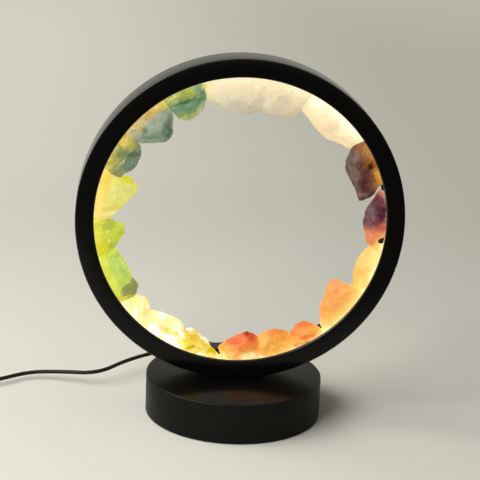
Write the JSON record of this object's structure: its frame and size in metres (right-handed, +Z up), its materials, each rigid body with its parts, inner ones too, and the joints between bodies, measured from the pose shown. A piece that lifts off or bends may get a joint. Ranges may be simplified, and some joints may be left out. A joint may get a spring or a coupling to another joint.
{
  "type": "gemstone table lamp",
  "caption": "Table lamp with an upright ring channel on a round weighted base; a lit strip inside the ring shines through rough coloured stones set along its inside.",
  "frame": {"origin": "on the table under the middle of the round base", "axes": "+Z up, -Y towards the viewer in front of the ring, +X to the viewer's right in the plane of the ring"},
  "size_m": [0.4155, 0.1794, 0.2825],
  "materials": {
    "ring_paint": "satin black powder coat",
    "base_paint": "satin black powder coat",
    "diffuser": "translucent, lit from behind",
    "light_strip": "matt white",
    "light_chips": "lit, warm white",
    "seat_pad": "matt",
    "saddle_steel": "zinc plated",
    "bolt_steel": "zinc plated",
    "washer_steel": "zinc plated",
    "nut_steel": "zinc plated",
    "weight_iron": "as cast",
    "plate_steel": "matt black",
    "screw_steel": "blackened",
    "foot_rubber": "matt foam",
    "relief_rubber": "satin",
    "cord_black": "satin",
    "wire_red_black": "matt",
    "switch_shell": "fine texture",
    "rocker": "semi-gloss",
    "contact_brass": "plain",
    "plug_black": "fine texture",
    "plug_steel": "nickel plated",
    "plug_insulator": "matt white",
    "tie_black": "hook-and-loop strap",
    "green_fluorite": "rough, translucent, lit from behind",
    "grey_fluorite": "rough, translucent, lit from behind",
    "olive_fluorite": "rough, translucent, lit from behind",
    "lime_calcite": "rough, translucent, lit from behind",
    "lime_prehnite": "rough, translucent, lit from behind",
    "green_calcite": "rough, translucent, lit from behind",
    "pale_calcite": "rough, translucent, lit from behind",
    "clear_citrine": "rough, translucent, lit from behind",
    "golden_citrine": "rough, translucent, lit from behind",
    "red_carnelian": "rough, translucent, lit from behind",
    "orange_carnelian": "rough, translucent, lit from behind",
    "streaked_carnelian": "rough, translucent, lit from behind",
    "orange_calcite": "rough, translucent, lit from behind",
    "peach_calcite": "rough, translucent, lit from behind",
    "amethyst": "rough, translucent, lit from behind",
    "smoky_amethyst": "rough, translucent, lit from behind",
    "milky_quartz": "rough, translucent, lit from behind",
    "clear_quartz": "rough, translucent, lit from behind",
    "cloudy_quartz": "rough, translucent, lit from behind"
  },
  "bodies": {
    "lamp": {"ring_shell": "ring_paint", "ring_back_cover": "ring_paint", "diffuser_band": "diffuser", "light_strip": "light_strip", "light_chips": "light_chips", "ring_seat_pad": "seat_pad", "ring_saddle": "saddle_steel", "ring_bolt": "bolt_steel", "bolt_washer": "washer_steel", "bolt_nut": "nut_steel", "base_shell": "base_paint", "base_weight": "weight_iron", "base_bottom_plate": "plate_steel", "bottom_plate_screws": "screw_steel", "foot_pad": "foot_rubber", "strain_relief": "relief_rubber", "inner_lead": "cord_black", "strip_wires": "wire_red_black", "switch_lower": "switch_shell", "switch_upper": "switch_shell", "switch_contacts": "contact_brass", "plug_body": "plug_black", "plug_shell": "plug_steel", "plug_tongue": "plug_insulator", "cord_to_switch": "cord_black", "cord_to_coil": "cord_black", "cord_to_plug": "cord_black", "cord_coil": "cord_black", "coil_tie": "tie_black", "green_fluorite": "green_fluorite", "grey_fluorite": "grey_fluorite", "olive_fluorite": "olive_fluorite", "lime_calcite": "lime_calcite", "lime_prehnite": "lime_prehnite", "green_calcite": "green_calcite", "pale_calcite": "pale_calcite", "clear_citrine": "clear_citrine", "golden_citrine": "golden_citrine", "red_carnelian": "red_carnelian", "orange_carnelian": "orange_carnelian", "streaked_carnelian": "streaked_carnelian", "orange_calcite": "orange_calcite", "peach_calcite": "peach_calcite", "amethyst": "amethyst", "smoky_amethyst": "smoky_amethyst", "milky_quartz": "milky_quartz", "clear_quartz": "clear_quartz", "cloudy_quartz": "cloudy_quartz"},
    "rocker": {"switch_rocker": "rocker"}
  },
  "joints": [
    {"name": "switch_rocker_tilt", "type": "hinge", "parent": "lamp", "child": "rocker", "pos_m": [-0.234, 0.043, 0.0088], "axis": [0, 1, 0], "range_deg": [0, 18]}
  ]
}
